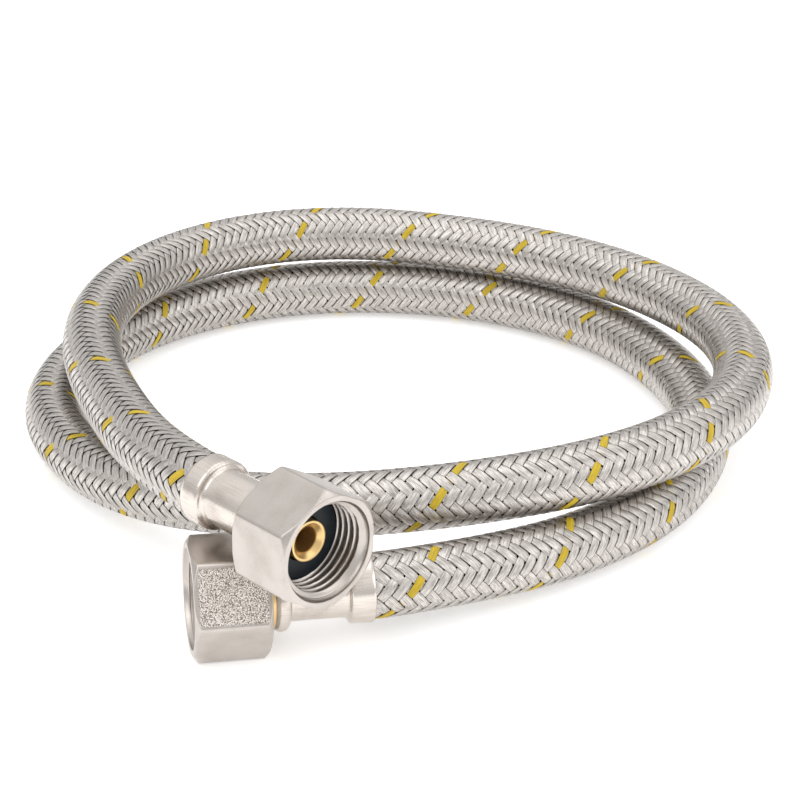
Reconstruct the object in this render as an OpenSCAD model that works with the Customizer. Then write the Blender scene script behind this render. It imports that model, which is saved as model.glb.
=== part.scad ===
// Braided supply hose with a swivel union nut at each end, lying in two loose turns.
// Each end fitting is drawn on its own Z axis: z = 0 is the ferrule lip where the
// hose goes in, and the mouth of the union nut faces +Z.

/* [Hose] */
// Outside diameter of the wire braid
hose_od = 14.5; // [12:0.1:15]
// Thickness of the wire braid
braid_wall = 0.8; // [0.5:0.1:1.2]
// Wall of the rubber inner tube where it is free
tube_wall = 1.9; // [1.2:0.1:2.4]
// Wall of the rubber inner tube where the ferrule squeezes it
squeezed_wall = 0.9; // [0.6:0.1:1.1]

/* [Union nut] */
// Width across the flats
nut_af = 24; // [23:0.5:29]
// Length from the back face to the mouth
nut_len = 16.5; // [13.5:0.5:20]
// Minor diameter of the female G1/2 thread
thread_minor_d = 18.63; // [15.5:0.01:18.8]
// Diameter of the lead-in at the mouth
mouth_d = 21; // [19:0.1:21.6]
// Thickness of the back wall that pulls on the nipple flange
nut_back = 3.6; // [2.5:0.1:4.5]

/* [Nipple] */
// Diameter of the water way
bore_d = 5.4; // [4.5:0.1:5.8]
// Diameter of the shank inside the hose
shank_d = 7.2; // [6.8:0.1:8.6]
// Height of the gripping ridges on the shank
barb = 0.1; // [0.05:0.01:0.2]
// Radial seat of the nut's back wall behind the flange
back_seat = 1.6; // [1.2:0.05:2]
// Thickness of the flange behind the gasket
flange_len = 2.4; // [1.8:0.1:2.6]
// Diameter of the nose that stands through the gasket
nose_d = 9; // [8:0.1:10.8]
// Height of the nose above the flange
nose_len = 3.8; // [3:0.1:4.6]

/* [Gasket] */
// Thickness of the flat rubber gasket
gasket_len = 2; // [1.5:0.1:2.5]

/* [Ferrule] */
// Length of the open flare over the hose
flare_len = 5.8; // [5:0.1:7]
// Length of the crimped neck
neck_len = 12.2; // [10:0.1:15]
// Length of the rolled bead over the hub
bead_len = 3.9; // [3.4:0.1:4.7]
// Wall of the flare
flare_wall = 0.5; // [0.4:0.05:0.7]
// Wall of the crimped neck
neck_wall = 0.7; // [0.5:0.05:0.9]
// Wall of the bead at its widest
bead_wall = 0.75; // [0.6:0.05:1]

/* [Clearances] */
// Between pieces that are crimped or pushed together
seat_gap = 0.05; // [0.03:0.01:0.08]
// Radial gap between the nut and the hub that it turns on
swivel_gap = 0.1; // [0.05:0.01:0.1]
// Free end float of the nut along the hub
end_float = 0.3; // [0.2:0.05:0.5]
// Strip of hub that shows between the bead and the nut
nut_stand_off = 0.8; // [0.5:0.1:1.5]
// Radial gap between the nipple flange and the thread
flange_gap = 0.12; // [0.08:0.01:0.2]
// Radial gap between the gasket and the thread
gasket_gap = 0.315; // [0.2:0.005:0.5]
// Radial gap between the gasket hole and the nose
nose_gap = 0.2; // [0.1:0.05:0.3]
// Free length between the tip of the nose and the thread
thread_gap = 0.1; // [0.05:0.05:0.5]

/* [Hidden] */

// End A lies on the surface, flat of the nut down. End B rests above it, corner down.
// Each end is [ferrule lip, heading about Z, rise of the mouth, turn of the nut].
end_a = [[-5.5, -73.5, 11.4], 191, 1.5, 30];
end_b = [[-39.8, -70.8, 33.8], -47.5, 1, -2];

// Centre line of the hose between the two lips: one turn on the surface, and one
// turn that climbs over the first and comes back over end A.
route = [
    [18.5, -62.5, 9.5], [42, -47.5, 7.75], [61.5, -27.5, 7.25], [73, -2.5, 7.25],
    [75, 25.5, 7.25], [67.5, 51, 7.25], [52.5, 73, 7.25], [30, 89, 7.25],
    [4.5, 97, 7.25], [-22.5, 97, 7.25], [-47.5, 88.5, 7.25], [-68.5, 71.5, 7.25],
    [-82, 48, 7.25], [-85.5, 21.5, 7.5], [-77.5, -4.5, 8.5], [-61.5, -26.5, 11],
    [-40, -43, 15.5], [-14, -51, 19], [13, -50, 21], [38.5, -43.5, 22.25],
    [62, -30, 22.75], [79, -9, 22.75], [85, 17.5, 22.5], [79, 44, 22.25],
    [62.5, 66.5, 22.5], [41, 83, 22.5], [15.5, 94, 22.5], [-10.5, 99, 22.75],
    [-37, 94.5, 23], [-59.5, 79.5, 23], [-73, 56.5, 23], [-76, 29.5, 23.5],
    [-71.5, 3.5, 24.75], [-63.5, -23, 27.5], [-53.5, -48, 30.75]];

// Radii of the hose, free and under the crimp, worked out from the bore outwards.
// The swept tubes have flat sides, so their inner corners stand off by cos(180 / sides).
sides = 12;
hose_r = hose_od / 2;
shank_r = shank_d / 2;
crimp_tube_in = (shank_r + barb + seat_gap / 2) / cos(180 / sides);
crimp_tube_out = crimp_tube_in + squeezed_wall;
crimp_braid_in = crimp_tube_out + seat_gap;
crimp_braid_out = crimp_braid_in + braid_wall;
free_braid_in = hose_r - braid_wall;
free_tube_out = free_braid_in - seat_gap;
free_tube_in = max(free_tube_out - tube_wall, crimp_tube_in);

// Radii and stations of the fitting, from the lip to the mouth.
neck_in = crimp_braid_out + seat_gap;
neck_r = neck_in + neck_wall;
flare_in = hose_r + seat_gap;
flare_r = flare_in + flare_wall;
shoulder = 0.8;
minor_r = thread_minor_d / 2;
flange_r = minor_r - flange_gap;
chamber_r = minor_r + 0.5;
gasket_r = minor_r - gasket_gap;
hub_r = flange_r - back_seat + 0.005;
bead_in = hub_r + seat_gap;
bead_r = bead_in + bead_wall;
neck_z = flare_len + neck_len;
hub_z = neck_z + bead_len * 0.3;
nut_z = neck_z + bead_len + nut_stand_off;
mouth_z = nut_z + nut_len;
flange_z = nut_z + nut_back + end_float;
gasket_z = flange_z + flange_len;
nose_z = gasket_z + nose_len;
crimp_z = flare_len + shoulder / 2;
hose_end_z = neck_z + seat_gap;
facets = 96;
cut = 1;

// Unit vector of an end's axis, out through the mouth.
function heading(end) = [cos(end[2]) * cos(end[1]), cos(end[2]) * sin(end[1]), sin(end[2])];

// Centre line with its two straight tails inside the ferrules.
function tail(end, z) = end[0] + heading(end) * z;
centres = concat([tail(end_a, hose_end_z), tail(end_a, crimp_z), end_a[0]], route,
                 [end_b[0], tail(end_b, crimp_z), tail(end_b, hose_end_z)]);
last = len(centres) - 1;

function unit(v) = v / norm(v);

// Direction of the hose at ring i: the fitting's axis in the tails, the chord elsewhere.
function along(i) =
    i < 3 ? -heading(end_a) :
    i > last - 3 ? heading(end_b) :
    unit(centres[i + 1] - centres[i - 1]);

// Radius at ring i: the two end rings on each side are under the crimp.
function radius(i, free, crimped) = i < 2 || i > last - 2 ? crimped : free;

// One ring of points square to the hose, with a corner straight down.
function ring(i, r) =
    let (t = along(i), across = unit(cross(t, [0, 0, 1])), up = cross(across, t))
    [for (k = [0 : sides - 1]) centres[i] + r * (cos(k * 360 / sides) * across + sin(k * 360 / sides) * up)];

// Two triangles for each side of each band, wound one way or the other.
function skin(first, flip) =
    [for (i = [0 : last - 1], k = [0 : sides - 1])
        let (a = first + i * sides + k, b = first + i * sides + (k + 1) % sides, c = a + sides, d = b + sides)
        each (flip ? [[a, d, b], [a, c, d]] : [[a, b, d], [a, d, c]])];

// Flat ring that closes the tube at band i.
function washer(i, flip) =
    let (inner = (last + 1) * sides)
    [for (k = [0 : sides - 1])
        let (a = i * sides + k, b = i * sides + (k + 1) % sides, c = a + inner, d = b + inner)
        each (flip ? [[a, b, d], [a, d, c]] : [[a, d, b], [a, c, d]])];

// A closed tube along the centre line, with its own wall free and under the crimp.
module hose_layer(outer, outer_crimped, inner, inner_crimped) {
    outside = [for (i = [0 : last]) each ring(i, radius(i, outer, outer_crimped))];
    inside = [for (i = [0 : last]) each ring(i, radius(i, inner, inner_crimped))];
    polyhedron(
        points = concat(outside, inside),
        faces = concat(skin(0, false), skin((last + 1) * sides, true), washer(0, false), washer(last, true)),
        convexity = 8);
}

// Stainless wire braid
module braid_sleeve() {
    color("silver") hose_layer(hose_r, crimp_braid_out, free_braid_in, crimp_braid_in);
}

// Rubber tube that carries the water
module inner_tube() {
    color("dimgray") hose_layer(free_tube_out, crimp_tube_out, free_tube_in, crimp_tube_in);
}

// Puts a piece of a fitting at its end of the hose
module at_end(end, turn = 0) {
    translate(end[0]) rotate([0, 90 - end[2], end[1]]) rotate([0, 0, turn]) children();
}

// Hexagon with both ends turned to a 30 degree chamfer
module hex_blank() {
    corner_r = nut_af / 2 / cos(30);
    face_r = nut_af / 2 + 0.3;
    bevel = (corner_r - face_r) * tan(30);
    intersection() {
        cylinder(r = corner_r, h = nut_len, $fn = 6);
        rotate_extrude($fn = facets) polygon([
            [0, 0], [face_r, 0], [corner_r + 0.01, bevel],
            [corner_r + 0.01, nut_len - bevel], [face_r, nut_len], [0, nut_len]]);
    }
}

// Swivel nut: hub bore, flange chamber, thread at its minor diameter and lead-in
module union_nut(end) {
    lead_r = mouth_d / 2;
    lead_len = (lead_r - minor_r) * 0.7;
    chamber_end = nose_z + thread_gap - nut_z;
    color("lightgray") at_end(end, end[3]) translate([0, 0, nut_z]) difference() {
        hex_blank();
        translate([0, 0, -cut]) cylinder(r = hub_r + swivel_gap, h = nut_back + 2 * cut, $fn = facets);
        translate([0, 0, nut_back]) cylinder(r = chamber_r, h = chamber_end - nut_back, $fn = facets);
        translate([0, 0, chamber_end - cut]) cylinder(r = minor_r, h = nut_len, $fn = facets);
        translate([0, 0, nut_len - lead_len])
            cylinder(r1 = minor_r, r2 = lead_r + lead_r - minor_r, h = 2 * lead_len, $fn = facets);
    }
}

// Brass insert: nose, flange, hub and ridged shank round one water way
module nipple(end) {
    bore_r = bore_d / 2;
    nose_r = nose_d / 2;
    sink_r = nose_r - 0.5;
    sink_len = nose_r - bore_r - 0.2;
    shank_end = 2;
    pitch = (crimp_z + neck_len - shank_end - 4) / 4;
    ridges = [for (i = [0 : 3]) each [
        [shank_r, crimp_z + (i + 0.9) * pitch], [shank_r + barb, crimp_z + (i + 1) * pitch - 0.01],
        [shank_r, crimp_z + (i + 1) * pitch]]];
    color("goldenrod") at_end(end) rotate_extrude($fn = facets) polygon(concat(
        [[bore_r, shank_end], [shank_r - 0.3, shank_end], [shank_r, shank_end + 0.6]], ridges,
        [[shank_r, hub_z], [hub_r, hub_z], [hub_r, flange_z], [flange_r, flange_z], [flange_r, gasket_z],
         [nose_r, gasket_z], [nose_r, nose_z - 0.3], [nose_r - 0.3, nose_z], [sink_r, nose_z],
         [bore_r, nose_z - sink_len]]));
}

// Flat rubber gasket on the nipple's flange
module gasket(end) {
    color("black") at_end(end) translate([0, 0, gasket_z]) rotate_extrude($fn = facets)
        translate([nose_d / 2 + nose_gap, 0]) square([gasket_r - nose_d / 2 - nose_gap, gasket_len]);
}

// Crimped ferrule: open flare, necked middle and a bead rolled over the hub
module ferrule(end) {
    roll_r = bead_len / 2;
    roll_c = bead_r - roll_r;
    step_z = hub_z - 0.2;
    front = asin((bead_in - roll_c) / roll_r);
    bead = [for (i = [0 : 10]) let (a = -90 + i * (180 - front) / 10)
        [max(roll_c + roll_r * cos(a), neck_r), neck_z + roll_r + roll_r * sin(a)]];
    neck_fillet = [for (i = [0 : 5]) let (a = i * 18)
        [neck_r + (flare_r - neck_r) * cos(a), flare_len + shoulder * (sin(a) - 1)]];
    color("gainsboro") at_end(end) rotate_extrude($fn = facets) polygon(concat(
        [[flare_in, 0], [flare_r, 0]], neck_fillet, bead,
        [[bead_in, step_z], [neck_in, step_z], [neck_in, crimp_z], [flare_in, flare_len - 1.6]]));
}

module union_nut_a() { union_nut(end_a); }
module nipple_a() { nipple(end_a); }
module gasket_a() { gasket(end_a); }
module ferrule_a() { ferrule(end_a); }
module union_nut_b() { union_nut(end_b); }
module nipple_b() { nipple(end_b); }
module gasket_b() { gasket(end_b); }
module ferrule_b() { ferrule(end_b); }

braid_sleeve();
inner_tube();
union_nut_a();
nipple_a();
gasket_a();
ferrule_a();
union_nut_b();
nipple_b();
gasket_b();
ferrule_b();
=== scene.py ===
"""Visual model of a braided supply hose with a swivel union nut at each end.

The hose lies in two loose turns on a white table. Lengths are in metres, in the
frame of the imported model; sizes given in millimetres are multiplied by MM.
"""
import logging
import math
from collections.abc import Callable
from dataclasses import dataclass, field
from enum import Enum

import bmesh
import bpy
import numpy as np
from mathutils import Matrix, Vector


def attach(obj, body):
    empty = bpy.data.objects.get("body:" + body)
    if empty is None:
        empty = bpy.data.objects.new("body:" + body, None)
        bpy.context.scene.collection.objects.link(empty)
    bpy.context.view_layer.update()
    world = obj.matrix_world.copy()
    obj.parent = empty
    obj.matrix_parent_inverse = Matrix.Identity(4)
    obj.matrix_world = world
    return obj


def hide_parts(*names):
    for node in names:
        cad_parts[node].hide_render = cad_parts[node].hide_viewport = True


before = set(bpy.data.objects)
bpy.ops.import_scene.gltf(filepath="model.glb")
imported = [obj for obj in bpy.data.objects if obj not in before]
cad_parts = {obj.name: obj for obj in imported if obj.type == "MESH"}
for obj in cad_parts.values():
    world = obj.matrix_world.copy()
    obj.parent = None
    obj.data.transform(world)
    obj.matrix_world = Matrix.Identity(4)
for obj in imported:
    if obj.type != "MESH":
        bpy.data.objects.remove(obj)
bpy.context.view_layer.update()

LOG = logging.getLogger("supply_hose")
MM = 0.001
TURN = 2 * math.pi
TURNED_RADIUS_MM = 10.0  # mean radius that the turned pieces' UV maps are unrolled at
WIRE_APART = 7.31  # steps through the streak noise from one wire to the next
CARRIER_APART = 53.7  # steps along it from one carrier to the next


def linear(hex_colour: str) -> tuple[float, float, float, float]:
    """Turns an sRGB hex colour to linear light.

    Args:
        hex_colour: Six hex digits, such as "c8c0b8".

    Returns:
        Linear red, green, blue and an alpha of 1.
    """
    parts = [int(hex_colour[i:i + 2], 16) / 255 for i in (0, 2, 4)]
    red, green, blue = (c / 12.92 if c <= 0.04045 else ((c + 0.055) / 1.055) ** 2.4 for c in parts)
    return red, green, blue, 1.0


def add_node(tree: bpy.types.NodeTree, kind: str, settings: dict | None = None,
             inputs: dict | None = None) -> bpy.types.Node:
    """Adds one node, with its settings, its socket values and its links.

    Args:
        tree: The tree that the node goes into.
        kind: Blender's name for the node's type.
        settings: Properties of the node itself.
        inputs: Socket name or number, and either a value or the socket to link from.

    Returns:
        The new node.
    """
    node = tree.nodes.new(kind)
    for key, value in (settings or {}).items():
        setattr(node, key, value)
    for key, value in (inputs or {}).items():
        if isinstance(value, bpy.types.NodeSocket):
            tree.links.new(value, node.inputs[key])
        else:
            node.inputs[key].default_value = value
    return node


# ---- finishes


@dataclass(frozen=True)
class Finish:
    """A real material and how its surface was made.

    Attributes:
        name: The material's name.
        slot: Name of its material slot; not used.
        colour: sRGB hex colour of the clean surface.
        shade: sRGB hex colour of its darker patches; on a woven band, also of the painted shade in
            the grooves between wires.
        metallic: 1 for bare or plated metal.
        roughness: Mean roughness.
        spread: How far the roughness varies either way.
    """

    name: str
    slot: str
    colour: str
    shade: str
    metallic: float
    roughness: float
    spread: float = 0.05

    def material(self) -> bpy.types.Material:
        """Builds the material.

        Returns:
            The Blender material, with its nodes.
        """
        mat = bpy.data.materials.new(self.name)
        mat.use_nodes = True
        tree = mat.node_tree
        tree.nodes.clear()
        shader = add_node(tree, "ShaderNodeBsdfPrincipled", inputs={"Metallic": self.metallic})
        add_node(tree, "ShaderNodeOutputMaterial", inputs={"Surface": shader.outputs["BSDF"]})
        self.surface(tree, shader)
        return mat

    def surface(self, tree: bpy.types.NodeTree, shader: bpy.types.Node) -> None:
        """Wires the pattern of this finish into the shader; each finish has its own."""
        raise NotImplementedError

    def tint(self, tree: bpy.types.NodeTree, shader: bpy.types.Node,
             amount: bpy.types.NodeSocket) -> None:
        """Mixes colour and roughness by one pattern.

        Args:
            tree: The material's tree.
            shader: Its Principled shader.
            amount: 0 where the surface is dark and rough, 1 where it is clean; on a woven band the
                dark also carries painted shade in the grooves.
        """
        ramp = add_node(tree, "ShaderNodeMix", {"data_type": "RGBA"},
                        {"Factor": amount, 6: linear(self.shade), 7: linear(self.colour)})
        rough = add_node(tree, "ShaderNodeMapRange", inputs={
            "Value": amount, "To Min": self.roughness + self.spread,
            "To Max": self.roughness - self.spread})
        tree.links.new(ramp.outputs[2], shader.inputs["Base Color"])
        tree.links.new(rough.outputs["Result"], shader.inputs["Roughness"])


@dataclass(frozen=True)
class WovenBand(Finish):
    """Flat carrier of fine wires or yarn, laid side by side along the band.

    Its UV map runs in millimetres: U along the band, and V across it in wires.

    Attributes:
        relief: Height of one wire's crown, in metres.
        streak: Length over which a wire keeps its brightness, in millimetres.
        wires: Wires side by side in the band.
        edge: Width of the painted shade along the raised side, in wires.
        crevice_shade: sRGB hex colour of that painted shade.
    """

    relief: float = 0.000025
    streak: float = 2.5
    wires: int = 8
    edge: float = 0.7
    crevice_shade: str = "14120f"

    def surface(self, tree: bpy.types.NodeTree, shader: bpy.types.Node) -> None:
        """Round wires with painted shade in the grooves, each a little brighter or duller than the
        next, and a painted dark line along the raised side.
        """
        uv = add_node(tree, "ShaderNodeUVMap", {"uv_map": "lay"})
        axes = add_node(tree, "ShaderNodeSeparateXYZ", inputs={0: uv.outputs["UV"]})
        wire = add_node(tree, "ShaderNodeMath", {"operation": "PINGPONG"},
                        {0: axes.outputs["Y"], 1: 0.5})
        crown = add_node(tree, "ShaderNodeMapRange", {"interpolation_type": "SMOOTHERSTEP"},
                         {"Value": wire.outputs[0], "From Max": 0.42})
        number = add_node(tree, "ShaderNodeMath", {"operation": "FLOOR"}, {0: axes.outputs["Y"]})
        apart = add_node(tree, "ShaderNodeMath", {"operation": "MULTIPLY"},
                         {0: number.outputs[0], 1: WIRE_APART})
        run = add_node(tree, "ShaderNodeMath", {"operation": "DIVIDE"},
                       {0: axes.outputs["X"], 1: self.streak})
        spot = add_node(tree, "ShaderNodeCombineXYZ",
                        inputs={0: run.outputs[0], 1: apart.outputs[0]})
        streaks = add_node(tree, "ShaderNodeTexNoise", inputs={
            "Vector": spot.outputs[0], "Scale": 1.0, "Detail": 2.0, "Roughness": 0.6})
        clean = add_node(tree, "ShaderNodeMapRange", inputs={
            "Value": streaks.outputs["Fac"], "From Min": 0.32, "From Max": 0.68, "To Min": 0.3})
        # Painted shade: the colour darkens down into the grooves between the wires.
        groove_shade = add_node(tree, "ShaderNodeMapRange", inputs={
            "Value": crown.outputs["Result"], "To Min": 0.35})
        streaks_and_groove_shade = add_node(tree, "ShaderNodeMath", {"operation": "MULTIPLY"},
                         {0: clean.outputs["Result"], 1: groove_shade.outputs["Result"]})
        self.tint(tree, shader, streaks_and_groove_shade.outputs[0])
        # Painted shade: a dark line along the raised side of the band, fainter along the other
        # side.
        near = add_node(tree, "ShaderNodeMapRange", {"interpolation_type": "SMOOTHSTEP"}, {
            "Value": axes.outputs["Y"], "From Min": self.wires - self.edge,
            "From Max": self.wires - self.edge * 0.4, "To Min": 1.0, "To Max": 0.0})
        far = add_node(tree, "ShaderNodeMapRange", {"interpolation_type": "SMOOTHSTEP"}, {
            "Value": axes.outputs["Y"], "From Min": 0.0, "From Max": self.edge * 0.5,
            "To Min": 0.45})
        inside = add_node(tree, "ShaderNodeMath", {"operation": "MULTIPLY"},
                          {0: near.outputs["Result"], 1: far.outputs["Result"]})
        metal = shader.inputs["Base Color"].links[0].from_socket
        crevice_shaded = add_node(tree, "ShaderNodeMix", {"data_type": "RGBA"},
                         {"Factor": inside.outputs[0], 6: linear(self.crevice_shade), 7: metal})
        tree.links.new(crevice_shaded.outputs[2], shader.inputs["Base Color"])
        bump = add_node(tree, "ShaderNodeBump", inputs={
            "Height": crown.outputs["Result"], "Distance": self.relief, "Strength": 0.7})
        tree.links.new(bump.outputs["Normal"], shader.inputs["Normal"])


@dataclass(frozen=True)
class SatinPlate(Finish):
    """Nickel plate over a formed part: soft, warm and finely pitted.

    Attributes:
        grain: Size of the pits in the plate, in metres.
        draw: How many times longer than wide the marks are, along the fitting.
        depth: Depth of the pits, in metres.
        cast: Whether some faces keep the skin of the casting, marked by an attribute.
        pebble: Size of the pebbles in the cast skin, in metres.
        pebble_height: Height of the pebbles, in metres.
        pebble_highlight: sRGB hex colour of the painted highlight on the pebbles' tops.
        pebble_pit_shade: sRGB hex colour of the painted shade in the pits between them.
    """

    grain: float = 0.00025
    draw: float = 1.0
    depth: float = 0.00001
    cast: bool = False
    pebble: float = 0.00026
    pebble_height: float = 0.00013
    pebble_highlight: str = "f0e9e3"
    pebble_pit_shade: str = "8a8179"

    def surface(self, tree: bpy.types.NodeTree, shader: bpy.types.Node) -> None:
        """Fine pits and broad dull patches, and a cast skin where the piece says so, with painted
        light on its pebbles' tops and painted shade in the pits between them.
        """
        uv = add_node(tree, "ShaderNodeUVMap", {"uv_map": "lay"})
        lay = add_node(tree, "ShaderNodeMapping", inputs={
            "Vector": uv.outputs["UV"], "Scale": (1.0, 1.0 / self.draw, 1.0)})
        place = add_node(tree, "ShaderNodeTexCoord")
        pits = add_node(tree, "ShaderNodeTexNoise", inputs={
            "Vector": lay.outputs[0], "Scale": MM / self.grain, "Detail": 3.0, "Roughness": 0.6})
        patches = add_node(tree, "ShaderNodeTexNoise", inputs={
            "Vector": place.outputs["Object"], "Scale": 1 / (6 * MM), "Detail": 2.0})
        both = add_node(tree, "ShaderNodeMath", {"operation": "ADD"},
                        {0: pits.outputs["Fac"], 1: patches.outputs["Fac"]})
        amount = add_node(tree, "ShaderNodeMapRange", inputs={
            "Value": both.outputs[0], "From Min": 0.6, "From Max": 1.1})
        self.tint(tree, shader, amount.outputs["Result"])
        fine = add_node(tree, "ShaderNodeBump", inputs={
            "Height": pits.outputs["Fac"], "Distance": self.depth, "Strength": 1.0})
        tree.links.new(fine.outputs["Normal"], shader.inputs["Normal"])
        if not self.cast:
            return
        skin = add_node(tree, "ShaderNodeAttribute", {"attribute_name": "cast_skin"})
        grit = add_node(tree, "ShaderNodeTexVoronoi", {"feature": "SMOOTH_F1"}, {
            "Vector": place.outputs["Object"], "Scale": 1 / self.pebble, "Smoothness": 0.45})
        raised = add_node(tree, "ShaderNodeMath", {"operation": "MULTIPLY"},
                          {0: grit.outputs["Distance"], 1: skin.outputs["Fac"]})
        coarse = add_node(tree, "ShaderNodeBump", {"invert": True}, {
            "Height": raised.outputs[0], "Distance": self.pebble_height, "Strength": 1.0})
        tree.links.new(coarse.outputs["Normal"], fine.inputs["Normal"])
        # Painted light and shade on the pebbles: lighter on their tops, darker down in the pits
        # between them.
        pit_shade = add_node(tree, "ShaderNodeMapRange", inputs={
            "Value": grit.outputs["Distance"], "From Min": 0.28, "From Max": 0.7})
        pebbles = add_node(tree, "ShaderNodeMix", {"data_type": "RGBA"}, {
            "Factor": pit_shade.outputs["Result"], 6: linear(self.pebble_highlight),
            7: linear(self.pebble_pit_shade)})
        plate = shader.inputs["Base Color"].links[0].from_socket
        skinned = add_node(tree, "ShaderNodeMix", {"data_type": "RGBA"},
                           {"Factor": skin.outputs["Fac"], 6: plate, 7: pebbles.outputs[2]})
        tree.links.new(skinned.outputs[2], shader.inputs["Base Color"])


@dataclass(frozen=True)
class TurnedMetal(Finish):
    """Bare metal straight off the lathe, with fine rings round the axis.

    Attributes:
        feed: Distance between the tool's rings, in metres.
        depth: Depth of the rings, in metres.
    """

    feed: float = 0.00012
    depth: float = 0.000004

    def surface(self, tree: bpy.types.NodeTree, shader: bpy.types.Node) -> None:
        """Rings that run with the outline, a little uneven."""
        uv = add_node(tree, "ShaderNodeUVMap", {"uv_map": "lay"})
        lay = add_node(tree, "ShaderNodeMapping", inputs={
            "Vector": uv.outputs["UV"], "Scale": (0.04, 1.0, 1.0)})
        rings = add_node(tree, "ShaderNodeTexNoise", inputs={
            "Vector": lay.outputs[0], "Scale": MM / self.feed, "Detail": 2.0})
        amount = add_node(tree, "ShaderNodeMapRange", inputs={
            "Value": rings.outputs["Fac"], "From Min": 0.35, "From Max": 0.65})
        self.tint(tree, shader, amount.outputs["Result"])
        bump = add_node(tree, "ShaderNodeBump", inputs={
            "Height": rings.outputs["Fac"], "Distance": self.depth, "Strength": 1.0})
        tree.links.new(bump.outputs["Normal"], shader.inputs["Normal"])


@dataclass(frozen=True)
class MouldedRubber(Finish):
    """Black rubber with the slight bloom of a moulded or extruded face.

    Attributes:
        grain: Size of its fine unevenness, in metres.
    """

    grain: float = 0.0003

    def surface(self, tree: bpy.types.NodeTree, shader: bpy.types.Node) -> None:
        """Soft unevenness in gloss and height."""
        place = add_node(tree, "ShaderNodeTexCoord")
        skin = add_node(tree, "ShaderNodeTexNoise", inputs={
            "Vector": place.outputs["Object"], "Scale": 1 / self.grain, "Detail": 2.0})
        self.tint(tree, shader, skin.outputs["Fac"])
        bump = add_node(tree, "ShaderNodeBump", inputs={
            "Height": skin.outputs["Fac"], "Distance": 0.01 * MM, "Strength": 0.6})
        tree.links.new(bump.outputs["Normal"], shader.inputs["Normal"])


# Drawn stainless wire: neutral grey and bright, with painted shade in the grooves between the
# wires.
STAINLESS_WIRE = WovenBand("stainless_wire_braid", "steel_braid", "ece6e0", "7e7974",
                           1.0, 0.33, 0.06)
# Dyed polyester yarn: matt yellow, with painted ochre shade in its folds.
POLYESTER_YARN = WovenBand("polyester_yarn_yellow", "steel_braid", "dcbf22", "9c8018",
                           0.0, 0.6, 0.05, streak=4.0, edge=0.5, crevice_shade="3a2e08")
# Nickel plate on machined brass: grey and satin, very finely pitted.
NICKEL_PLATE = SatinPlate("nickel_plate_satin", "nickel_plate", "c2bbb5", "ada59e", 1.0, 0.34, 0.04,
                          cast=True)
# Nickel plate on sheet that was drawn and crimped: smoother, with marks along the neck.
PRESSED_PLATE = SatinPlate("nickel_plate_pressed", "pressed_nickel", "d6cec6", "bcb2aa",
                           1.0, 0.27, 0.05, grain=0.0005, draw=14.0, depth=0.000012)
# Free-cutting brass off the lathe: bright gold with fine rings.
TURNED_BRASS = TurnedMetal("turned_brass", "turned_brass", "e3bd72", "bd8e42", 1.0, 0.26, 0.06)
# Moulded nitrile rubber: black, with the cool blue of a low sheen painted into its colour.
NITRILE_RUBBER = MouldedRubber("moulded_nitrile_rubber", "black_rubber", "16232b", "0c151b",
                               0.0, 0.5, 0.05)
# Extruded rubber of the tube: matt black behind the braid.
EPDM_RUBBER = MouldedRubber("extruded_epdm_rubber", "epdm_tube", "0c0c0c", "060606", 0.0, 0.7, 0.05)


# ---- shared tools


def dress(mesh: bpy.types.Mesh, name: str, finish: Finish, body: str, nodes: tuple[str, ...] = (),
          sharp: float = 35.0) -> bpy.types.Object:
    """Turns a finished mesh into a piece that rides on its body.

    Args:
        mesh: The mesh, already in place.
        name: The piece's name.
        finish: What it is made of.
        body: The body that it rides on.
        nodes: CAD nodes that it stands for.
        sharp: Angle in degrees past which an edge shows as an edge.

    Returns:
        The new object.
    """
    mesh.name = name
    mesh.shade_smooth()
    mesh.set_sharp_from_angle(angle=math.radians(sharp))
    known = bpy.data.materials.get(finish.name)
    mesh.materials.append(known or finish.material())
    piece = bpy.data.objects.new(name, mesh)
    bpy.context.scene.collection.objects.link(piece)
    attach(piece, body)
    if nodes:
        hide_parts(*nodes)
    LOG.info("%s: %d faces on %s", name, len(mesh.polygons), body)
    return piece


def softened(outline: list[tuple[float, float]], radius: float,
             steps: int = 3) -> list[tuple[float, float]]:
    """Rounds the corners of a closed outline, each within a third of its shorter side.

    Args:
        outline: Points as (radius, station), in metres.
        radius: How far from the corner the rounding starts.
        steps: Chords in each rounded corner.

    Returns:
        The rounded outline.
    """
    points = [Vector(p) for p in outline]
    made = []
    for i, here in enumerate(points):
        before, after = points[i - 1] - here, points[(i + 1) % len(points)] - here
        reach = min(radius, before.length / 3, after.length / 3)
        start, end = here + before.normalized() * reach, here + after.normalized() * reach
        for k in range(steps + 1):
            t = k / steps
            made.append(tuple(start * (1 - t) ** 2 + here * 2 * t * (1 - t) + end * t ** 2))
    return made


def spaced(outline: list[tuple[float, float]],
           step: Callable[[float, float], float]) -> list[tuple[float, float]]:
    """Adds points to a closed outline, as close together as each side needs.

    Args:
        outline: Points as (radius, station), in metres.
        step: Gives the longest side allowed round a point.

    Returns:
        The denser outline.
    """
    made = []
    for (r0, z0), (r1, z1) in zip(outline, outline[1:] + outline[:1]):
        longest = step((r0 + r1) / 2, (z0 + z1) / 2)
        count = max(1, math.ceil(math.hypot(r1 - r0, z1 - z0) / longest))
        made += [(r0 + (r1 - r0) * k / count, z0 + (z1 - z0) * k / count) for k in range(count)]
    return made


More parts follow.
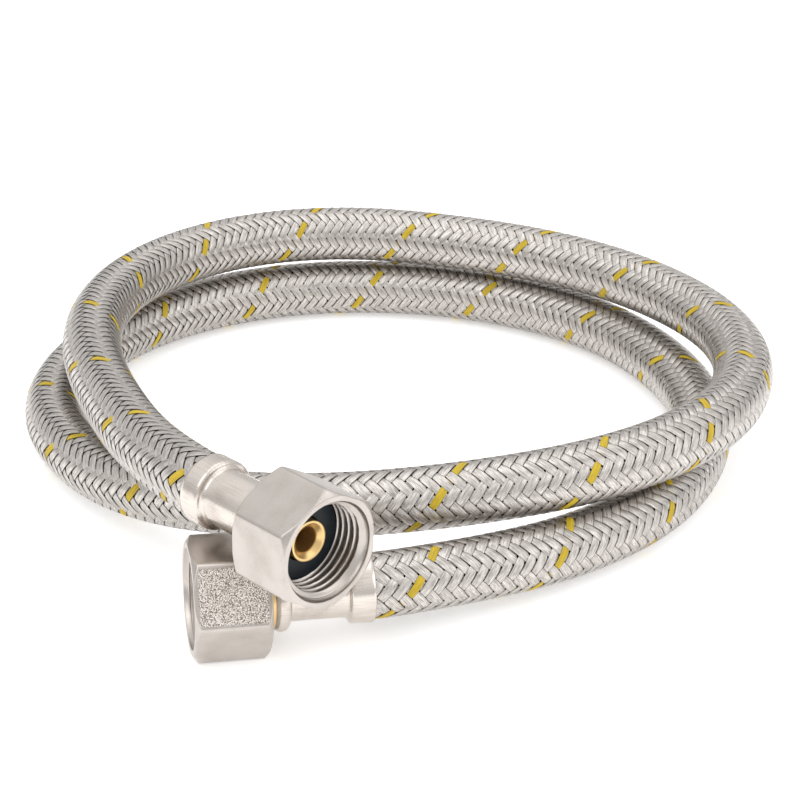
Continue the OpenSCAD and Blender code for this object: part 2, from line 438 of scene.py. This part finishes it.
def turned(outline: list[tuple[float, float]], steps: int = 96) -> bmesh.types.BMesh:
    """Spins a closed outline into a solid of revolution about Z.

    Args:
        outline: Points as (radius, station), in metres.
        steps: Segments in the full turn.

    Returns:
        The solid, with its normals outwards and a UV map in millimetres named lay.
    """
    bm = bmesh.new()
    layer = bm.loops.layers.uv.new("lay")
    verts = [bm.verts.new((r, 0.0, z)) for r, z in outline]
    edges = [bm.edges.new(pair) for pair in zip(verts, verts[1:] + verts[:1])]
    bmesh.ops.spin(bm, geom=verts + edges, cent=(0, 0, 0), axis=(0, 0, 1), dvec=(0, 0, 0),
                   angle=TURN, steps=steps, use_merge=True, use_duplicate=False)
    bmesh.ops.remove_doubles(bm, verts=bm.verts, dist=1e-7)
    bmesh.ops.recalc_face_normals(bm, faces=bm.faces)
    for face in bm.faces:
        middle = face.calc_center_median()
        bearing = math.atan2(middle.y, middle.x)
        for loop in face.loops:
            here = loop.vert.co
            swing = (math.atan2(here.y, here.x) - bearing + math.pi) % TURN - math.pi
            loop[layer].uv = ((bearing + swing) * TURNED_RADIUS_MM, (here.z + here.xy.length) / MM)
    return bm


def placed(bm: bmesh.types.BMesh, matrix: Matrix) -> bpy.types.Mesh:
    """Moves a finished bmesh to its place and turns it into a mesh.

    Args:
        bm: The shape, on its own Z axis. It is freed.
        matrix: Where it goes.

    Returns:
        The mesh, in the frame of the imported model.
    """
    bmesh.ops.transform(bm, matrix=matrix, verts=bm.verts)
    mesh = bpy.data.meshes.new("shape")
    bm.to_mesh(mesh)
    bm.free()
    return mesh


# ---- hose


class Hand(Enum):
    """Which way a carrier winds round the hose."""

    RIGHT = 1
    LEFT = -1


@dataclass
class EndPose:
    """Where an end fitting is.

    Attributes:
        lip: Centre of the ferrule's lip.
        heading: Bearing of the axis about Z, in degrees.
        rise: Rise of the axis, in degrees.
        nut_turn: Turn of the nut about the axis, in degrees.
    """

    lip: Vector
    heading: float
    rise: float
    nut_turn: float

    @property
    def axis(self) -> Vector:
        """Unit vector out through the mouth."""
        return self.matrix().to_3x3() @ Vector((0, 0, 1))

    def matrix(self) -> Matrix:
        """Carries a piece on its own Z axis to this end.

        Returns:
            The placing matrix.
        """
        return (Matrix.Translation(self.lip)
                @ Matrix.Rotation(math.radians(self.heading), 4, "Z")
                @ Matrix.Rotation(math.radians(90 - self.rise), 4, "Y"))

    def station(self, z: float) -> Vector:
        """Point on the axis at a station, in metres from the lip."""
        return self.lip + self.axis * z


END_A = EndPose(Vector((-0.0055, -0.0735, 0.0114)), 191.0, 1.5, 30.0)
END_B = EndPose(Vector((-0.0398, -0.0708, 0.0338)), -47.5, 1.0, -2.0)

# Centre line between the two lips: one turn on the surface, then one that climbs over it.
ROUTE = [
    (0.0185, -0.0625, 0.0095), (0.042, -0.0475, 0.00775), (0.0615, -0.0275, 0.00725),
    (0.073, -0.0025, 0.00725), (0.075, 0.0255, 0.00725), (0.0675, 0.051, 0.00725),
    (0.0525, 0.073, 0.00725), (0.03, 0.089, 0.00725), (0.0045, 0.097, 0.00725),
    (-0.0225, 0.097, 0.00725), (-0.0475, 0.0885, 0.00725), (-0.0685, 0.0715, 0.00725),
    (-0.082, 0.048, 0.00725), (-0.0855, 0.0215, 0.0075), (-0.0775, -0.0045, 0.0085),
    (-0.0615, -0.0265, 0.011), (-0.04, -0.043, 0.0155), (-0.014, -0.051, 0.019),
    (0.013, -0.05, 0.021), (0.0385, -0.0435, 0.02225), (0.062, -0.03, 0.02275),
    (0.079, -0.009, 0.02275), (0.085, 0.0175, 0.0225), (0.079, 0.044, 0.02225),
    (0.0625, 0.0665, 0.0225), (0.041, 0.083, 0.0225), (0.0155, 0.094, 0.0225),
    (-0.0105, 0.099, 0.02275), (-0.037, 0.0945, 0.023), (-0.0595, 0.0795, 0.023),
    (-0.073, 0.0565, 0.023), (-0.076, 0.0295, 0.0235), (-0.0715, 0.0035, 0.02475),
    (-0.0635, -0.023, 0.0275), (-0.0535, -0.048, 0.03075)]


# Where the tracer has got to: station along the hose in millimetres, and how far round
# it is from where an even lead would bring it, in degrees. The lead is longer where the
# hose is pulled and shorter where it is pushed together.
TRACER_LAY = [
    (0, 330), (60, 338), (130, 288), (206, 251), (277, 220), (343, 177), (415, 106), (460, 98),
    (530, 87), (575, 70), (632, -30), (700, -133), (770, -172), (832, -250), (890, -352),
    (960, -262), (1017, -225)]


class HoseLine:
    """The hose's centre line, in even steps, with a frame that never twists."""

    STEP = 0.5 * MM
    TAIL = 18.05 * MM  # how far the hose goes into each ferrule

    def __init__(self, start: EndPose, end: EndPose,
                 route: list[tuple[float, float, float]]) -> None:
        """Runs a smooth curve through the route and straight into both ferrules.

        Args:
            start: The end that the hose leaves from.
            end: The end that it arrives at.
            route: Points between the two lips.
        """
        inside = 8 * MM  # last knot of the curve in each ferrule; straight from there on
        knots = np.array([start.station(inside), start.lip, *route, end.lip, end.station(inside)])
        curve = self._spline(knots)
        curve = np.vstack([[start.station(self.TAIL)], curve, [end.station(self.TAIL)]])
        run = np.concatenate([[0], np.cumsum(np.linalg.norm(np.diff(curve, axis=0), axis=1))])
        self.length = float(run[-1])
        self.along = np.arange(0, self.length + self.STEP, self.STEP)
        self.along[-1] = self.length
        self.centre = np.stack([np.interp(self.along, run, curve[:, k]) for k in range(3)], 1)
        ahead = np.gradient(self.centre, axis=0)
        self.ahead = ahead / np.linalg.norm(ahead, axis=1, keepdims=True)
        self.side = self._carried(np.array([0.0, 0.0, 1.0]))
        self.up = np.cross(self.ahead, self.side)

    @staticmethod
    def _spline(knots: np.ndarray) -> np.ndarray:
        """Natural cubic spline through the knots, with centripetal spacing.

        Args:
            knots: Points to pass through.

        Returns:
            Points on the curve, 60 to each span.
        """
        gap = np.sqrt(np.linalg.norm(np.diff(knots, axis=0), axis=1))
        count = len(knots)
        system, right = np.eye(count), np.zeros((count, 3))
        slope = np.diff(knots, axis=0) / gap[:, None]
        for i in range(1, count - 1):
            system[i, i - 1:i + 2] = gap[i - 1], 2 * (gap[i - 1] + gap[i]), gap[i]
            right[i] = 6 * (slope[i] - slope[i - 1])
        bend = np.linalg.solve(system, right)
        made = []
        for i in range(count - 1):
            t = np.linspace(0, gap[i], 60, endpoint=False)[:, None]
            first = slope[i] - gap[i] * (2 * bend[i] + bend[i + 1]) / 6
            made.append(knots[i] + first * t + bend[i] / 2 * t ** 2
                        + (bend[i + 1] - bend[i]) / (6 * gap[i]) * t ** 3)
        return np.vstack([*made, knots[-1:]])

    def _carried(self, first: np.ndarray) -> np.ndarray:
        """Carries a sideways direction along the line without twist.

        Args:
            first: The direction at the start.

        Returns:
            One unit vector square to the line for each step.
        """
        made = np.zeros_like(self.centre)
        side = first
        for i, ahead in enumerate(self.ahead):
            side = side - ahead * (side @ ahead)
            side = side / np.linalg.norm(side)
            made[i] = side
        return made

    def wrap(self, along: np.ndarray, angle: np.ndarray, radius: np.ndarray) -> np.ndarray:
        """Wraps flat points round the hose.

        Args:
            along: Distance along the centre line.
            angle: Angle round the hose, in radians.
            radius: Distance from the centre line.

        Returns:
            The points in space.
        """
        def at(values: np.ndarray) -> np.ndarray:
            """Reads a value off the line at each point's distance."""
            return np.stack([np.interp(along, self.along, values[:, k]) for k in range(3)], -1)

        out = np.cos(angle)[..., None] * at(self.side) + np.sin(angle)[..., None] * at(self.up)
        return at(self.centre) + out * radius[..., None]


@dataclass
class Hose:
    """Rubber tube in a braid of flat wire carriers, with one tracer of yellow yarn.

    Attributes:
        line: Centre line.
        diameter: Outside diameter of the braid.
        tube_radius: Outside radius of the rubber tube, just under the braid.
        tube_wall: Wall of the rubber tube where it is free.
        crimped_radius: Outside radius of the tube under the crimp.
        crimped_wall: Wall of the tube under the crimp.
        carriers: Carriers that wind each way.
        lead: Length of one turn of a carrier.
        cover: Share of the surface that the carriers of one hand cover.
        wires: Wires in a carrier.
        layer: Half the height between an upper and a lower carrier.
        crown: How far the middle of a carrier stands over its mean radius.
        braid_start: Length of hose inside each ferrule that has no drawn braid.
        unevenness: How far a carrier wanders sideways.
        snap: How quickly a carrier dives; large for a square weave.
        gather: Share of its width that a carrier loses where it dives.
        start_angle: Turn of the whole weave round the hose, in radians.
        tracer: The tracer's hand and number.
        tracer_width: Width of the tracer's yarn, as a share of a wire carrier's.
        groups: Pieces that the wire carriers are gathered into.
        samples: Rings of a carrier in one lead.
    """

    line: HoseLine
    diameter: float = 14.5 * MM
    tube_radius: float = 6.55 * MM
    tube_wall: float = 1.9 * MM
    crimped_radius: float = 4.75 * MM
    crimped_wall: float = 0.9 * MM
    carriers: int = 12
    lead: float = 35.4 * MM
    cover: float = 0.93
    wires: int = 8
    layer: float = 0.13 * MM
    crown: float = 0.08 * MM
    braid_start: float = 14.2 * MM
    unevenness: float = 0.02 * MM
    snap: float = 3.4
    gather: float = 0.2
    start_angle: float = math.radians(34.5)
    tracer: tuple[Hand, int] = (Hand.LEFT, 0)
    tracer_width: float = 0.86
    groups: int = 6
    samples: int = 72

    def build(self) -> None:
        tube = self._tube()
        bands = [(hand, i) for i in range(self.carriers) for hand in Hand]
        wires = [b for b in bands if b != self.tracer]
        share = math.ceil(len(wires) / self.groups)
        pieces = []
        for g in range(self.groups):
            members = wires[g * share:(g + 1) * share]
            mesh = self._woven(members)
            nodes = ("braid_sleeve",) if g == 0 else ()
            pieces.append(dress(mesh, f"braid_wires_{g + 1}", STAINLESS_WIRE, "hose", nodes, 60))
        pieces.append(dress(self._woven([self.tracer]), "braid_tracer", POLYESTER_YARN, "hose",
                            (), 60))
        self.pieces = pieces
        self.tube = tube

    def _tube(self) -> bpy.types.Object:
        """Rubber tube: two sleeves wrapped from flat sheets and joined at the ends.

        Returns:
            The tube's object.
        """
        rings, sides = 500, 24
        bm = bmesh.new()
        crimp = 6.2 * MM
        depth = self.line.TAIL
        for inner in (False, True):
            made = bmesh.ops.create_grid(bm, x_segments=rings, y_segments=sides, size=0.5)
            verts = made["verts"]
            flat = np.array([v.co for v in verts])
            along = (flat[:, 0] + 0.5) * self.line.length
            lip = np.minimum(along, self.line.length - along)
            eased = np.clip((lip - (depth - crimp)) / (crimp - 2 * MM), 0, 1)
            eased = eased * eased * (3 - 2 * eased)
            outer_r = self.crimped_radius + (self.tube_radius - self.crimped_radius) * eased
            wall = self.crimped_wall + (self.tube_wall - self.crimped_wall) * eased
            radius = outer_r - wall if inner else outer_r
            angle = (flat[:, 1] + 0.5) * TURN * (-1 if inner else 1)
            for v, co in zip(verts, self.line.wrap(along, angle, radius)):
                v.co = co
        bmesh.ops.remove_doubles(bm, verts=bm.verts, dist=1e-6)
        first = Vector(self.line.centre[0])
        rims = [e for e in bm.edges if e.is_boundary]
        near = [e for e in rims if (e.verts[0].co - first).length < 2 * self.tube_radius]
        bmesh.ops.bridge_loops(bm, edges=near)
        bmesh.ops.bridge_loops(bm, edges=[e for e in rims if e.is_boundary])
        bmesh.ops.recalc_face_normals(bm, faces=bm.faces)
        mesh = placed(bm, Matrix.Identity(4))
        return dress(mesh, "rubber_tube", EPDM_RUBBER, "hose", ("inner_tube",), 60)

    def _woven(self, bands: list[tuple[Hand, int]]) -> bpy.types.Mesh:
        """Weaves flat strips over and under, two by two, and wraps them on the hose.

        Args:
            bands: Hand and number of each carrier.

        Returns:
            One mesh with a closed strip for each carrier.
        """
        length = self.line.length - 2 * self.braid_start
        count = round(length / self.lead * self.samples)
        # Section of a strip: across and height, as shares of half its width and its crown,
        # and how far round the strip each corner is, counted in wires.
        section = np.array([(-1.0, -0.3, 0), (-0.75, 0.7, 1), (0.0, 1.0, 4), (0.75, 0.8, 7),
                            (1.0, -0.2, 8), (0.0, -0.9, 10), (-1.0, -0.3, 12)])
        flat_strip = bmesh.new()
        flat_strip.loops.layers.uv.new("lay")
        bmesh.ops.create_grid(flat_strip, x_segments=count, y_segments=len(section) - 1, size=0.5)
        strip = bpy.data.meshes.new("strip")
        flat_strip.to_mesh(strip)
        flat_strip.free()
        woven = bmesh.new()
        for _ in bands:
            woven.from_mesh(strip)
        mesh = bpy.data.meshes.new("bands")
        woven.to_mesh(mesh)
        woven.free()
        flat = np.zeros(len(strip.vertices) * 3)
        strip.vertices.foreach_get("co", flat)
        flat = flat.reshape(-1, 3)
        bpy.data.meshes.remove(strip)
        along = (flat[:, 0] + 0.5) * length
        corner = np.rint((flat[:, 1] + 0.5) * (len(section) - 1)).astype(int)
        across, height, wire = section[corner].T
        places = [self._laid(hand, number, along, across, height * self.crown)
                  for hand, number in bands]
        mesh.vertices.foreach_set("co", np.concatenate(places).ravel())
        slant = math.atan(self._mean * TURN / self.lead)
        run = along / math.cos(slant) / MM
        # V is turned round on right-hand carriers, which puts the painted shade line on their other
        # side.
        lay = np.concatenate([
            np.stack([run + CARRIER_APART * (2 * number + (hand is Hand.LEFT)),
                      (wire if hand is Hand.LEFT else (8 - wire) % 12) * self.wires / 8], 1)
            for hand, number in bands])
        corners = np.zeros(len(mesh.loops), dtype=np.int32)
        mesh.loops.foreach_get("vertex_index", corners)
        mesh.uv_layers["lay"].data.foreach_set("uv", lay[corners].ravel())
        closed = bmesh.new()
        closed.from_mesh(mesh)
        bmesh.ops.remove_doubles(closed, verts=closed.verts, dist=1e-7)
        bmesh.ops.holes_fill(closed, edges=[e for e in closed.edges if e.is_boundary], sides=0)
        bmesh.ops.recalc_face_normals(closed, faces=closed.faces)
        closed.to_mesh(mesh)
        closed.free()
        return mesh

    @property
    def _mean(self) -> float:
        """Mean radius of the weave."""
        return self.diameter / 2 - self.crown - self.layer

    def _wound(self, at: np.ndarray) -> np.ndarray:
        """Angle that a carrier has wound through, smoothed along the hose.

        Args:
            at: Distance along the hose, from the start of its centre line.

        Returns:
            The angle in radians, growing along the hose.
        """
        past, half = 60, 21  # millimetres past each end, and half the smoothing window
        grid = np.arange(-past, self.line.length / MM + past)
        stations, phases = np.array(TRACER_LAY, float).T
        window = np.hanning(2 * half + 1)
        padded = np.pad(np.interp(grid, stations, phases), half, "edge")
        drift = np.convolve(padded, window / window.sum(), "valid")
        angle = TURN / self.lead * grid * MM - np.radians(drift) + self.start_angle
        return np.interp(at / MM, grid, angle)

    def _laid(self, hand: Hand, number: int, along: np.ndarray, across: np.ndarray,
              height: np.ndarray) -> np.ndarray:
        """Lays one carrier in the weave.

        Args:
            hand: Which way it winds.
            number: Its place among the carriers of its hand.
            along: Distance along the braid of each point's middle.
            across: Place across the strip, from -1 to 1.
            height: Height over the strip's mean radius.

        Returns:
            The strip's points in space.
        """
        row, sign = TURN / self.carriers, hand.value
        at = along + self.braid_start
        rate = (self._wound(at + MM) - self._wound(at - MM)) / (2 * MM)
        slant = np.arctan(self._mean * rate)
        rng = np.random.default_rng(100 + number * 2 + (sign < 0))
        ripple = 7 * MM
        wander = sum(rng.normal(0, self.unevenness)
                     * np.sin(along / (k * ripple) + rng.uniform(0, TURN)) for k in (1, 2, 3))

        def weave(station: np.ndarray, bearing: np.ndarray) -> np.ndarray:
            """Tells how far a point is over (1) or under (-1) the carriers that it meets."""
            meets = (bearing - self.start_angle + sign * self._wound(station)) / row
            wave = np.cos(math.pi * (number + meets - 0.5) / 2)
            return sign * np.tanh(self.snap * wave) / math.tanh(self.snap)

        middle = self.start_angle + row * number + sign * self._wound(at)
        gathered = self.cover * (1 - self.gather * (1 - np.abs(weave(at, middle))))
        if (hand, number) == self.tracer:
            gathered *= self.tracer_width
        offset = across * row * self._mean * np.cos(slant) / 2 * gathered + wander
        station = at - sign * np.sin(slant) * offset
        bearing = middle + np.cos(slant) * offset / self._mean
        lift = self.layer * weave(station, bearing)
        return self.line.wrap(station, bearing, self._mean + lift + height)


# ---- fittings


@dataclass
class Fitting:
    """Union nut, nipple, gasket and crimped ferrule on one end of the hose.

    Stations run from the ferrule's lip, at 0, to the mouth of the nut.

    Attributes:
        label: Letter of the end, as in the CAD names.
        pose: Where it is.
        cast_flats: Bearings of the flats that keep their cast skin, in degrees.
        flats: Width of the nut across its flats.
        back: Station of the nut's back face.
        length: Length of the nut.
        face: Radius where each end's chamfer starts.
        hub_bore: Radius of the bore through the back wall.
        back_wall: Thickness of the back wall.
        chamber: Radius of the smooth chamber round the flange.
        chamber_end: Station where the thread starts.
        minor: Radius over the thread's crests.
        thread_depth: Depth of the thread.
        pitch: Pitch of the thread, 14 to the inch.
        mouth: Radius of the lead-in at the mouth.
    """

    label: str
    pose: EndPose
    cast_flats: tuple[float, ...] = ()
    flats: float = 24 * MM
    back: float = 22.7 * MM
    length: float = 16.5 * MM
    face: float = 12.1 * MM
    hub_bore: float = 7.7 * MM
    back_wall: float = 3.6 * MM
    chamber: float = 9.8 * MM
    chamber_end: float = 30.2 * MM
    minor: float = 9.315 * MM
    thread_depth: float = 1.162 * MM
    pitch: float = 1.814 * MM
    mouth: float = 10.95 * MM
    pieces: list[bpy.types.Object] = field(default_factory=list)

    def build(self) -> list[bpy.types.Object]:
        """Builds the four pieces.

        Returns:
            The pieces, nut first.
        """
        self.pieces = [self._nut(), self._nipple(), self._gasket(), self._ferrule()]
        return self.pieces

    def _piece(self, bm: bmesh.types.BMesh, kind: str, finish: Finish, body: str,
               sharp: float = 35.0) -> bpy.types.Object:
        """Puts one piece at this end in place of its CAD node."""
        name = f"{kind}_{self.label}"
        mesh = placed(bm, self.pose.matrix())
        return dress(mesh, f"{name}_detail", finish, body, (name,), sharp)

    def _nut(self) -> bpy.types.Object:
        """Turned blank with chamfered ends, milled to six flats and threaded inside.

        Returns:
            The nut's object.
        """
        z0, z1 = self.back, self.back + self.length
        corner = self.flats / 2 / math.cos(math.radians(30)) + 0.02 * MM
        rise = (corner - self.face) * math.tan(math.radians(36))
        lead = 1.9 * MM
        outline = softened([
            (self.hub_bore, z0), (self.face, z0), (corner, z0 + rise), (corner, z1 - rise),
            (self.face, z1), (self.mouth, z1), (self.mouth - 0.12 * MM, z1 - 0.5 * MM),
            (self.mouth - 0.4 * MM, z1 - 1.1 * MM), (self.minor, z1 - lead),
            (self.minor, self.chamber_end),
            (self.chamber, self.chamber_end), (self.chamber, z0 + self.back_wall),
            (self.hub_bore, z0 + self.back_wall)], 0.25 * MM)

        def step(r: float, z: float) -> float:
            """Close rings where the flats cut the chamfers and along the thread."""
            if r > self.face - 0.6 * MM:
                return 0.12 * MM if min(z - z0, z1 - z) < rise * 1.02 else 0.6 * MM
            if r < self.mouth and z > self.chamber_end - 0.1 * MM:
                return self.pitch / 14
            return 1.5 * MM

        bm = turned(spaced(outline, step), 168)
        bearings = [math.radians(30 + 60 * k + self.pose.nut_turn) for k in range(6)]
        skin = bm.verts.layers.float.new("cast_skin")
        for v in bm.verts:
            self._mill(v, bearings, z0, z1)
            self._thread(v, z1 - lead)
            v[skin] = self._cast_skin(v.co, z0, z1)
        bmesh.ops.remove_doubles(bm, verts=bm.verts, dist=2e-6)
        bmesh.ops.recalc_face_normals(bm, faces=bm.faces)
        return self._piece(bm, "union_nut", NICKEL_PLATE, f"nut_{self.label}", 50)

    def _mill(self, v: bmesh.types.BMVert, bearings: list[float], z0: float, z1: float) -> None:
        """Pulls a point of the blank in to the flats, with softly broken edges.

        Args:
            v: The point.
            bearings: Bearings of the flats, in radians.
            z0: Station of the back face.
            z1: Station of the mouth.
        """
        radius, angle = v.co.xy.length, math.atan2(v.co.y, v.co.x)
        if radius < self.mouth + 0.1 * MM:
            return
        corner_softness, edge_softness, broken = 48, 150, 0.25 * MM
        sharpness = sum(max(math.cos(angle - b), 0) ** corner_softness for b in bearings)
        flat = self.flats / 2 / sharpness ** (1 / corner_softness)
        made = radius * (1 + (radius / flat) ** edge_softness) ** (-1 / edge_softness)
        end = min(v.co.z - z0, z1 - v.co.z)
        if end < broken:
            made = min(made, flat - broken * (1 - math.sqrt(max(0, 1 - (1 - end / broken) ** 2))))
        v.co.xy *= made / radius

    def _thread(self, v: bmesh.types.BMVert, lead_start: float) -> None:
        """Cuts the right-hand thread into a point of the bore.

        Args:
            v: The point.
            lead_start: Station where the lead-in cone starts.
        """
        radius, z = v.co.xy.length, v.co.z
        if radius > self.mouth or z < self.chamber_end + 0.3 * MM or radius < self.minor - 0.2 * MM:
            return
        share = z / self.pitch - math.atan2(v.co.y, v.co.x) / TURN
        flank = abs(2 * (share % 1) - 1)
        cut = min(max((flank - 0.16) / 0.68, 0), 1)
        cut = 0.25 * (1 - math.cos(math.pi * cut)) + 0.5 * cut  # flank with rounded crest and root
        fade = min(1, (z - self.chamber_end - 0.3 * MM) / (0.7 * MM))
        made = max(radius, self.minor + self.thread_depth * cut * fade)
        if z > lead_start:
            made = min(made, self.mouth)
        v.co.xy *= made / radius

    def _cast_skin(self, co: Vector, z0: float, z1: float) -> float:
        """Tells how much of the casting's skin is left at a point, from 0 to 1.

        Args:
            co: The point.
            z0: Station of the back face.
            z1: Station of the mouth.

        Returns:
            1 inside a cast flat and 0 on its smooth border and everywhere else.
        """
        border, fade, most = 0.7 * MM, 0.5 * MM, 0.0
        for bearing in self.cast_flats:
            swing = math.atan2(co.y, co.x) - math.radians(bearing)
            if co.xy.length * math.cos(swing) < self.flats / 2 - 0.15 * MM:
                continue
            half = self.flats / 2 * math.tan(math.radians(30))
            room = min(half - abs(co.xy.length * math.sin(swing)), co.z - z0, z1 - co.z) - border
            most = max(most, min(max(room / fade, 0), 1))
        return most

    def _nipple(self) -> bpy.types.Object:
        """Brass insert: nose with a wide countersink, flange, hub and ridged shank.

        Returns:
            The nipple's object.
        """
        bore, shank, hub, flange, nose = (x * MM for x in (2.7, 3.6, 7.595, 9.195, 4.5))
        end, hub_z, flange_z, gasket_z, tip = (x * MM for x in (2.0, 19.17, 26.6, 29.0, 32.8))
        ridges, ridge_pitch = [], 3.1 * MM
        for k in range(4):
            top = 6.2 * MM + (k + 1) * ridge_pitch
            ridges += [(shank, top - 0.3 * MM), (shank + 0.1 * MM, top - 0.02 * MM), (shank, top)]
        outline = softened([
            (bore, end), (shank - 0.3 * MM, end), (shank, end + 0.6 * MM), *ridges,
            (shank, hub_z), (hub, hub_z), (hub, flange_z), (flange, flange_z), (flange, gasket_z),
            (nose, gasket_z), (nose, tip), (nose - 0.6 * MM, tip), (bore, tip - 1.1 * MM)],
            0.3 * MM, steps=4)
        return self._piece(turned(outline), "nipple", TURNED_BRASS, "hose", 40)

    def _gasket(self) -> bpy.types.Object:
        """Flat rubber ring with moulded edges.

        Returns:
            The gasket's object.
        """
        inner, outer, low, high = (x * MM for x in (4.7, 9.0, 29.0, 31.0))
        outline = softened([(inner, low), (outer, low), (outer, high), (inner, high)],
                           0.3 * MM, steps=4)
        return self._piece(turned(outline), "gasket", NITRILE_RUBBER, "hose", 50)

    def _ferrule(self) -> bpy.types.Object:
        """Sheet ferrule: open flare, crimped neck and a bead rolled over the hub.

        Returns:
            The ferrule's object.
        """
        flare_in, flare, neck_in, neck, bead_in = (x * MM for x in (7.3, 7.8, 5.65, 6.35, 7.65))
        roll, roll_r, roll_z = 6.445 * MM, 1.95 * MM, 19.95 * MM
        front = math.degrees(math.asin((bead_in - roll) / roll_r))
        bead = []
        for k in range(12):
            a = math.radians(-90 + k * (180 - front) / 11)
            bead.append((max(roll + roll_r * math.cos(a), neck), roll_z + roll_r * math.sin(a)))
        shoulder = [(7.8, 4.5), (7.73, 4.9), (7.52, 5.2), (7.2, 5.36), (6.85, 5.46), (6.55, 5.65),
                    (6.4, 5.95), (6.35, 6.5)]
        outline = [(flare_in, 0.12 * MM), (flare_in + 0.15 * MM, 0.0), (flare - 0.2 * MM, 0.0),
                   (flare, 0.2 * MM)]
        outline += [(r * MM, z * MM) for r, z in shoulder]
        outline += [(neck, 17.6 * MM), *bead, (bead_in, 18.97 * MM), (neck_in, 18.97 * MM),
                    (neck_in, 6.2 * MM), (flare_in, 4.2 * MM)]

        rings = 0.8 * MM
        bm = turned(spaced(outline, lambda r, z: rings), 120)
        jaws, bite, run_out = 8, 0.05 * MM, 1.5 * MM
        first, last = 6.5 * MM, 17.8 * MM
        for v in bm.verts:
            radius, z = v.co.xy.length, v.co.z
            if radius < neck - 0.2 * MM or not first < z < last:
                continue
            ends = min(z - first, last - z) / run_out
            mark = abs(math.cos(math.atan2(v.co.y, v.co.x) * jaws / 2)) ** 6
            v.co.xy *= 1 - bite / radius * min(ends, 1) * (1 - mark)
        return self._piece(bm, "ferrule", PRESSED_PLATE, "hose", 50)


# ---- studio


@dataclass
class Studio:
    """Camera, soft lights and a white table.

    Attributes:
        eye: Where the camera is.
        pitch: How far it looks down, in degrees.
        lens: Focal length in millimetres on a 36 mm sensor.
        horizon: Brightness of the room at eye level.
        zenith: Brightness of its ceiling.
        table_glow: Light that the table gives off, which keeps it white under soft light.
    """

    eye: Vector = field(default_factory=lambda: Vector((0.0, -0.5312, 0.27926)))
    pitch: float = 25.925
    lens: float = 111.78
    horizon: float = 0.64
    zenith: float = 1.1
    table_glow: float = 0.36

    def camera(self) -> None:
        """Sets up the camera."""
        data = bpy.data.cameras.new("camera")
        data.lens, data.sensor_width = self.lens, 36
        data.clip_start, data.clip_end = 0.01, 20
        cam = bpy.data.objects.new("camera", data)
        cam.location = self.eye
        cam.rotation_euler = (math.radians(90 - self.pitch), 0, 0)
        bpy.context.scene.collection.objects.link(cam)
        bpy.context.scene.camera = cam

    def light(self) -> None:
        """Hangs the soft boxes and sets the room's light."""
        boxes = [("key", (-0.55, -0.5, 0.9), 0.8, 2.3), ("fill", (0.8, -0.35, 0.55), 0.7, 1.5),
                 ("top", (0.05, 0.25, 1.1), 0.9, 2.0)]
        for name, place, size, power in boxes:
            data = bpy.data.lights.new(name, "AREA")
            data.size, data.energy = size, power
            lamp = bpy.data.objects.new(name, data)
            lamp.location = place
            aim = Vector((0, 0, 0.02)) - Vector(place)
            lamp.rotation_euler = aim.to_track_quat("-Z", "Y").to_euler()
            bpy.context.scene.collection.objects.link(lamp)
        world = bpy.data.worlds.new("room")
        world.use_nodes = True
        tree = world.node_tree
        tree.nodes.clear()
        place = add_node(tree, "ShaderNodeTexCoord")
        axes = add_node(tree, "ShaderNodeSeparateXYZ", inputs={0: place.outputs["Generated"]})
        glow = add_node(tree, "ShaderNodeMapRange", {"interpolation_type": "SMOOTHSTEP"}, {
            "Value": axes.outputs["Z"], "From Min": -0.05, "From Max": 0.8,
            "To Min": self.horizon, "To Max": self.zenith})
        room = add_node(tree, "ShaderNodeBackground", inputs={
            "Color": (1.0, 1.0, 1.0, 1.0), "Strength": glow.outputs["Result"]})
        add_node(tree, "ShaderNodeOutputWorld", inputs={"Surface": room.outputs["Background"]})
        bpy.context.scene.world = world
        view = bpy.context.scene.view_settings
        view.view_transform, view.look = "Standard", "None"

    def table(self) -> None:
        """Lays the white table top under the hose."""
        bm = bmesh.new()
        bmesh.ops.create_grid(bm, x_segments=1, y_segments=1, size=3.0)
        mesh = placed(bm, Matrix.Translation((0, 0, -0.02 * MM)))
        mat = bpy.data.materials.new("white_laminate")
        mat.use_nodes = True
        shader = mat.node_tree.nodes["Principled BSDF"]
        shader.inputs["Base Color"].default_value = linear("fafafa")
        shader.inputs["Roughness"].default_value = 0.9
        shader.inputs["Specular IOR Level"].default_value = 0.1
        shader.inputs["Emission Color"].default_value = (1.0, 1.0, 1.0, 1.0)
        shader.inputs["Emission Strength"].default_value = self.table_glow
        mesh.materials.append(mat)
        top = bpy.data.objects.new("table_top", mesh)
        bpy.context.scene.collection.objects.link(top)


def main() -> None:
    """Builds the camera, the hose, both fittings and the studio, in that order."""
    logging.basicConfig(level=logging.INFO, format="%(message)s")
    studio = Studio()
    studio.camera()
    line = HoseLine(END_A, END_B, ROUTE)
    LOG.info("hose: %.1f mm along its centre line", line.length / MM)
    hose = Hose(line)
    hose.build()
    Fitting("a", END_A, cast_flats=(120.0,)).build()
    far_end = Fitting("b", END_B).build()
    studio.light()
    studio.table()


if __name__ == "__main__":
    main()
